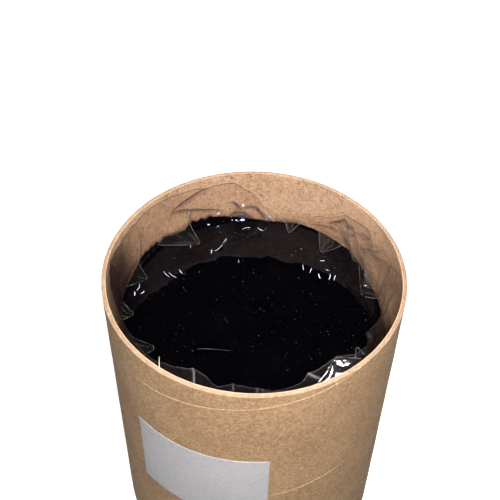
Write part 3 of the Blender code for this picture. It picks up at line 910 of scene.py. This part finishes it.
def skin_wrinkle(name, x, y, heading, length, curl, width):
    """A wrinkle of rosin skin: a crescent that leans back, with walls down to the rosin.

    The crescent's middle line is an arc in its own leaning plane, which faces a
    place in front of the drum. Its width is a half ellipse along the line, and its
    face is slightly crowned. Heading is in degrees, curl in radians and the rest
    in millimetres.
    """
    way = np.linspace(-1, 1, 30)[:, None]
    across = np.linspace(-1, 1, 9)[None, :]
    turned = np.radians(heading) + way * curl / 2
    step = np.diff(way[:, 0])[0] * length / 2 * MM
    mid_u = np.cumsum(np.cos(turned[:, 0]))[:, None] * step
    mid_v = np.cumsum(np.sin(turned[:, 0]))[:, None] * step
    half = width * MM / 2 * np.sqrt(np.clip(1.003 - way**2, 0, 1))
    u = mid_u - np.sin(turned) * across * half
    v = mid_v + np.cos(turned) * across * half
    crown = 0.03 * half * (1 - across**2) + 0.001 * length * MM * (1 - way**2)
    lean = np.radians(WRINKLE_LEAN - 0.06 * (y - 50))
    out = v * np.sin(lean) - crown * np.cos(lean)
    lift = ROSIN + 0.1 * MM + (v - v.min()) * np.cos(lean) + crown * np.sin(lean)
    swing = np.arctan2(FACED[0] - x, y - FACED[1])
    face_x = x * MM + u * np.cos(swing) - out * np.sin(swing)
    face_y = y * MM + u * np.sin(swing) + out * np.cos(swing)
    face = np.stack([face_x, face_y, lift], axis=-1)
    low = face[:, [0, -1]] * [1, 1, 0] + [0, 0, ROSIN - 0.1 * MM]
    points = np.concatenate([low[:, :1], face, low[:, 1:]], axis=1)
    ridge = piece_from_grid(name, points[:, ::-1], (np.arange(11) * 0.2 * MM, np.arange(30) * 0.4 * MM))
    ridge.data.set_sharp_from_angle(angle=np.radians(40))
    seat(ridge, "cake", "black_rosin", rosin_skin)


WRINKLES = (
    (-68, 37, -50, 6.5, 0.5, 0.30), (-64, 36, -40, 8.0, 0.6, 0.32), (-56, 40, -62, 4.0, 0.7, 0.45),
    (-31, 62, 36, 8.5, 0.8, 0.32), (-33.5, 59, 75, 3.6, 0.9, 0.45), (-10, 86, 12, 7, -0.9, 0.3),
    (2, 87, -30, 5.5, 0.5, 0.4), (50, 54, 4, 4.2, 0.3, 0.4), (37, 47, -78, 4.4, 0.5, 0.4),
    (42.4, 41, 72, 4.0, -0.9, 0.45), (48.5, 38.5, -68, 4.2, 0.6, 0.7), (56, 34.5, 80, 4.6, 0.7, 0.6),
    (60, 34, 76, 4.2, -0.6, 0.5), (54, 45, -25, 3.4, 0.8, 0.3), (-86.5, 20, 58, 6.0, 1.2, 0.36),
    (-83, 17, 28, 3.4, 0.9, 0.5), (-87.5, 14.5, 80, 3.6, 0.8, 0.7), (-12, 52, -80, 2.4, 0.3, 0.25),
)
for number, (x, y, heading, length, curl, width) in enumerate(WRINKLES):
    skin_wrinkle(f"rosin_wrinkle_{number + 1}", x, y, heading, length, curl, width)

# Dust on the rosin: crumbs of a few faces each, and one fibre of lint.
dice = np.random.default_rng(90)
GRAINS = 800
DUSTY_RADIUS = 88 * MM
spread = np.sqrt(dice.uniform(0, 1, GRAINS)) * DUSTY_RADIUS
turned = dice.uniform(0, 2 * np.pi, GRAINS)
middle = polar(spread, turned, ROSIN + 0.12 * MM)
size = MM * np.exp(dice.normal(-2.5, 0.55, GRAINS))
corners = np.array([(1, 0, 0), (0, 1, 0), (-1, 0, 0), (0, -1, 0), (0, 0, 1), (0, 0, -0.6)], float)
stretch = dice.uniform(0.5, 1.0, (GRAINS, 1, 3)) * size[:, None, None]
grain_points = middle[:, None, :] + corners[None] * stretch
faces = np.array([
    (0, 1, 4), (1, 2, 4), (2, 3, 4), (3, 0, 4), (1, 0, 5), (2, 1, 5), (3, 2, 5), (0, 3, 5),
])
every_face = (faces[None] + 6 * np.arange(GRAINS)[:, None, None]).reshape(-1, 3)
dust_mesh = bpy.data.meshes.new("rosin_dust")
dust_mesh.from_pydata(grain_points.reshape(-1, 3), [], every_face)
dust = bpy.data.objects.new("rosin_dust", dust_mesh)
bpy.context.scene.collection.objects.link(dust)
crumb, tree, shader = new_material("dust_grain")
place = put(tree, "TexCoord").outputs["Object"]
tone = ramp(tree, noise(tree, place, 60, 2), 0.35, 0.65)
tree.links.new(mixed(tree, tone, (0.30, 0.25, 0.20, 1), (0.85, 0.82, 0.80, 1)), shader.inputs["Base Color"])
shader.inputs["Roughness"].default_value = 0.7
seat(dust, "cake", "black_rosin", crumb)

LINT_LENGTH = 26 * MM
LINT_HALF_WIDTH = 0.03 * MM
along = np.linspace(0, 1, 60)[:, None]
around = np.linspace(0, 2 * np.pi, 6, endpoint=False)[None, :]
lint_r = LINT_HALF_WIDTH * np.sqrt(np.clip(4 * along * (1 - along), 0.02, 1))
lint_points = np.stack([
    -40 * MM + LINT_LENGTH * along + 0 * around,
    (-33.3 + 0.5 * np.sin(5 * along)) * MM + lint_r * np.cos(around),
    ROSIN + 0.15 * MM + lint_r * np.sin(around),
], axis=-1)
lint_uv = (np.arange(7) * 0.05 * MM, along[:, 0] * LINT_LENGTH)
lint = piece_from_grid("lint_fibre", lint_points, lint_uv, around=True)
seat(lint, "cake", "black_rosin", crumb)

# ------------------------------------------------------- floor, lights, camera
# A plain white floor that glows a little, and a key lamp close to the camera.
# Three broader lamps, which show in no reflection, fill in from above, from the
# left and from behind.
bpy.ops.mesh.primitive_plane_add(size=14, location=(0, 0, -0.0005))
floor = bpy.context.object
floor.name = "floor"
paint, tree, shader = new_material("floor_paint")
floor.data.materials.append(paint)
shader.inputs["Base Color"].default_value = (0.93, 0.93, 0.93, 1)
shader.inputs["Roughness"].default_value = 0.9
shader.inputs["Emission Color"].default_value = (1, 1, 1, 1)
shader.inputs["Emission Strength"].default_value = 0.75
floor.visible_diffuse = False


def soft_lamp(name, place, aim, size, watts, colour=(1, 1, 1)):
    """A round area lamp that points from its place to its aim."""
    lamp = bpy.data.lights.new(name, "AREA")
    lamp.shape = "DISK"
    lamp.size = size
    lamp.energy = watts
    lamp.color = colour
    holder = bpy.data.objects.new(name, lamp)
    holder.location = place
    holder.rotation_euler = (Vector(aim) - Vector(place)).to_track_quat("-Z", "Y").to_euler()
    bpy.context.scene.collection.objects.link(holder)
    return holder


rim_centre = Vector((0, 0, RIM))
eye = rim_centre + Vector((-3.3, -403.7, 435.9)) * MM
soft_lamp("key", eye + Vector((0.05, -0.03, 0.08)), rim_centre, 0.11, 7.7, (1.0, 0.97, 0.93))
soft_lamp("overhead", (0, -0.3, 2.2), (0, 0, 0), 1.6, 8.0).visible_glossy = False
soft_lamp("left_fill", (-0.62, -0.16, 1.1), rim_centre, 0.5, 2.8, (1.0, 0.96, 0.92)).visible_glossy = False
soft_lamp("back_fill", (0.9, 1.4, 0.35), rim_centre, 0.8, 9.0).visible_glossy = False
world = bpy.data.worlds.new("room")
bpy.context.scene.world = world
world.use_nodes = True
world.node_tree.nodes["Background"].inputs["Color"].default_value = (1.0, 0.96, 0.92, 1)
world.node_tree.nodes["Background"].inputs["Strength"].default_value = 0.02

LOOKS_DOWN = np.radians(45.865)
ROLL = 0.02116
lens = bpy.data.cameras.new("camera")
lens.lens = 62.57
lens.clip_start = 0.01
camera = bpy.data.objects.new("camera", lens)
tilt = Matrix.Rotation(np.radians(90) - LOOKS_DOWN, 4, "X") @ Matrix.Rotation(ROLL, 4, "Z")
camera.matrix_world = Matrix.Translation(eye) @ tilt
bpy.context.scene.collection.objects.link(camera)
bpy.context.scene.camera = camera
bpy.context.scene.view_settings.view_transform = "Standard"
